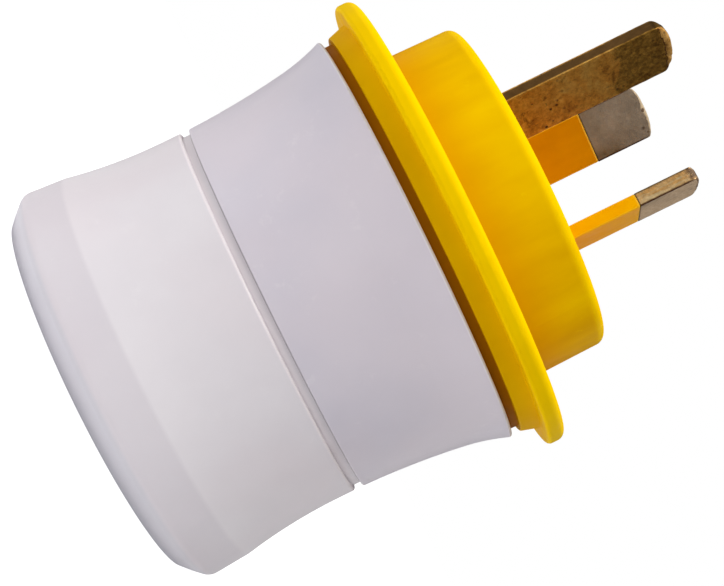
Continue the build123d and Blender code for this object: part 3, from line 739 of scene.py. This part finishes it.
def pin_tube(name, stand, material, node, seed):
    """An insulating sleeve: a rounded rectangle carried up its outside, over its end and down its inside.

    A ring's place is the corner's centre plus the corner's radius times the outward normal, and the broad
    and narrow sides join the four corners.
    """
    broad = np.linspace(1, -1, FACE_POINTS + 2)[1:-1]
    narrow = np.linspace(1, -1, SIDE_POINTS + 2)[1:-1]
    normals = np.concatenate(
        [
            quarter_turn(0),
            np.tile((0.0, 1.0), (FACE_POINTS, 1)),
            quarter_turn(1),
            np.tile((-1.0, 0.0), (SIDE_POINTS, 1)),
            quarter_turn(2),
            np.tile((0.0, -1.0), (FACE_POINTS, 1)),
            quarter_turn(3),
            np.tile((1.0, 0.0), (SIDE_POINTS, 1)),
        ]
    )
    corner, wide, slim = np.ones(CORNER_POINTS), np.ones(FACE_POINTS), np.ones(SIDE_POINTS)
    share_x = np.concatenate([corner, broad, -corner, -slim, -corner, -broad, corner, slim])
    share_y = np.concatenate([corner, wide, corner, narrow, -corner, -wide, -corner, -narrow])
    outside = np.linspace(EAR_HIGH, SLEEVE_TOP - LIP, TUBE_RINGS)
    roll = np.linspace(0, np.pi / 2, ROUND_POINTS)
    rolled = np.column_stack([SLEEVE_TOP - LIP * (1 - np.sin(roll)), LIP * (1 - np.cos(roll))])
    wall = HALF_WIDTH - CORE_HALF_WIDTH
    rings = np.concatenate(
        [
            np.column_stack([outside, np.full((TUBE_RINGS, 2), (0.0, TUBE_CORNER))]),
            np.column_stack([rolled, np.full(ROUND_POINTS, LIP_CORNER)])[1:],
            [(SLEEVE_TOP, wall, BORE_CORNER), (EAR_HIGH, wall, BORE_CORNER)],
        ]
    )
    height, inset, radius = rings[:, :1], rings[:, 1:2], rings[:, 2:]
    x = share_x * (HALF_WIDTH - inset - radius) + normals[:, 0] * radius
    y = share_y * (HALF_THICKNESS - inset - radius) + normals[:, 1] * radius
    places = np.stack([x, y, np.broadcast_to(height, x.shape)], axis=-1)
    places[..., :2] -= normals * np.abs(ripple(places, 3.0 * MM, seed))[..., None] * 0.01 * MM
    slant = np.abs(normals).min(axis=1) > 0.1
    at_end = rings[:, 1] > 0
    marks = {"edge": (slant | at_end[:, None]).astype(float)}
    skin(name, stood(places, *stand), marks, True, material, node)


def pins():
    """The three worn pins and the two sleeves."""
    bare = bare_brass(*EARTH)
    earth_tip = (EARTH_TIP, 1.9 * MM, 2.4, (1.15 * MM, 0.5 * MM))
    power_tip = (POWER_TIP, 1.0 * MM, 2.2, (0.55 * MM, 0.36 * MM))
    flat_pin("earth_pin", "earth_blade", EARTH, False, *earth_tip, bare, "bare_pin", 3)
    tan = ((150, 122, 84), (164, 134, 94), (176, 146, 106))
    grey = ((162, 142, 122), (184, 164, 142), (206, 184, 162))
    live_plating = plated_pin("live_plating", *LIVE, tan, (104, 80, 58), -1)
    neutral_plating = plated_pin("neutral_plating", *NEUTRAL, grey, (186, 164, 130), 1)
    flat_pin("live_pin", "live_blade", LIVE, True, *power_tip, live_plating, "plated_pin", 11)
    flat_pin("neutral_pin", "neutral_blade", NEUTRAL, True, *power_tip, neutral_plating, "plated_pin", 23)
    live_insulation = pin_sleeve("live_insulation", *LIVE, (250, 176, 0), (255, 190, 0))
    # The neutral sleeve's darker tones are painted shade on the same orange insulation as the live one
    neutral_insulation_painted_shade = pin_sleeve("neutral_insulation_painted_shade", *NEUTRAL, (204, 130, 0), (216, 142, 0))
    pin_tube("live_insulating_tube", LIVE, live_insulation, "live_sleeve", 12)
    pin_tube("neutral_insulating_tube", NEUTRAL, neutral_insulation_painted_shade, "neutral_sleeve", 24)


def floor():
    """A pale round table that the camera sees plain white, and that throws a little light up."""
    turn = np.linspace(0, tau, FLOOR_CORNERS, endpoint=False)
    level = np.full(FLOOR_CORNERS, -FLOOR_DROP)
    points = np.column_stack([FLOOR_RADIUS * np.cos(turn), FLOOR_RADIUS * np.sin(turn), level])
    mesh = bpy.data.meshes.new("floor")
    mesh.from_pydata(points.tolist(), [], [list(range(FLOOR_CORNERS))])
    table = bpy.data.objects.new("floor", mesh)
    bpy.context.scene.collection.objects.link(table)
    finish = Finish(
        "pale_paper",
        Base_Color=(0.8, 0.8, 0.8),
        Roughness=0.9,
        Specular_IOR_Level=0.1,
        Emission_Strength=1.0,
    )
    seen = finish.node("ShaderNodeLightPath", output="Is Camera Ray")
    x, y, _ = finish.axes()
    away = finish.node("ShaderNodeMath", {"operation": "SQRT"}, {0: x * x + y * y})
    near = finish.step(away, NEAR_GLOW_START, NEAR_GLOW_FULL, 0.0, NEAR_GLOW)
    glow = {axis: seen.higher(near + share) for axis, share in zip("XYZ", FLOOR_GLOW)}
    finish.varies(Emission_Color=finish.node("ShaderNodeCombineXYZ", inputs=glow))
    mesh.materials.append(finish.material)


def soft_box(name, place, power):
    """A square soft box that faces the middle of the adapter."""
    lamp = bpy.data.lights.new(name, "AREA")
    lamp.size = BOX_SIZE
    lamp.energy = power
    box = bpy.data.objects.new(name, lamp)
    box.location = place
    box.rotation_mode = "QUATERNION"
    box.rotation_quaternion = (Vector((0.0, 0.0, AIM_HEIGHT)) - Vector(place)).to_track_quat("-Z", "Y")
    bpy.context.scene.collection.objects.link(box)


def studio():
    """A backdrop that the camera sees plain white, a dim sky, and soft boxes mostly on the pins' side."""
    world = bpy.data.worlds.new("studio")
    world.use_nodes = True
    nodes, links = world.node_tree.nodes, world.node_tree.links
    sky = nodes["Background"]
    sky.inputs["Color"].default_value = (1.0, 1.0, 1.0, 1.0)
    sky.inputs["Strength"].default_value = SKY_LIGHT
    backdrop = nodes.new("ShaderNodeBackground")
    backdrop.inputs["Color"].default_value = (1.0, 1.0, 1.0, 1.0)
    backdrop.inputs["Strength"].default_value = 1.0
    chooser = nodes.new("ShaderNodeMixShader")
    links.new(nodes.new("ShaderNodeLightPath").outputs["Is Camera Ray"], chooser.inputs[0])
    links.new(sky.outputs[0], chooser.inputs[1])
    links.new(backdrop.outputs[0], chooser.inputs[2])
    links.new(chooser.outputs[0], nodes["World Output"].inputs["Surface"])
    bpy.context.scene.world = world
    bpy.context.scene.view_settings.view_transform = "Standard"
    for azimuth, rise, power in BOXES:
        across = BOX_REACH * cos(radians(rise))
        height = AIM_HEIGHT + BOX_REACH * sin(radians(rise))
        place = (across * sin(radians(azimuth)), -across * cos(radians(azimuth)), height)
        soft_box(f"soft_box_{azimuth}_{rise}", place, power)
    floor()


def camera():
    """The photograph's view: its place, its direction and how far it is rolled."""
    lens = bpy.data.cameras.new("camera")
    lens.sensor_width = SENSOR
    lens.lens = SENSOR * FOCAL_LENGTH_PX / PICTURE_WIDTH
    lens.clip_start = 0.01
    view = bpy.data.objects.new("camera", lens)
    azimuth, rise = radians(CAMERA_AZIMUTH), radians(CAMERA_RISE)
    ahead = Vector((-sin(azimuth) * cos(rise), cos(azimuth) * cos(rise), sin(rise)))
    view.rotation_mode = "QUATERNION"
    view.rotation_quaternion = Quaternion(ahead, radians(-CAMERA_ROLL)) @ ahead.to_track_quat("-Z", "Y")
    view.location = CAMERA_PLACE
    bpy.context.scene.collection.objects.link(view)
    bpy.context.scene.camera = view


dress()
pins()
studio()
camera()
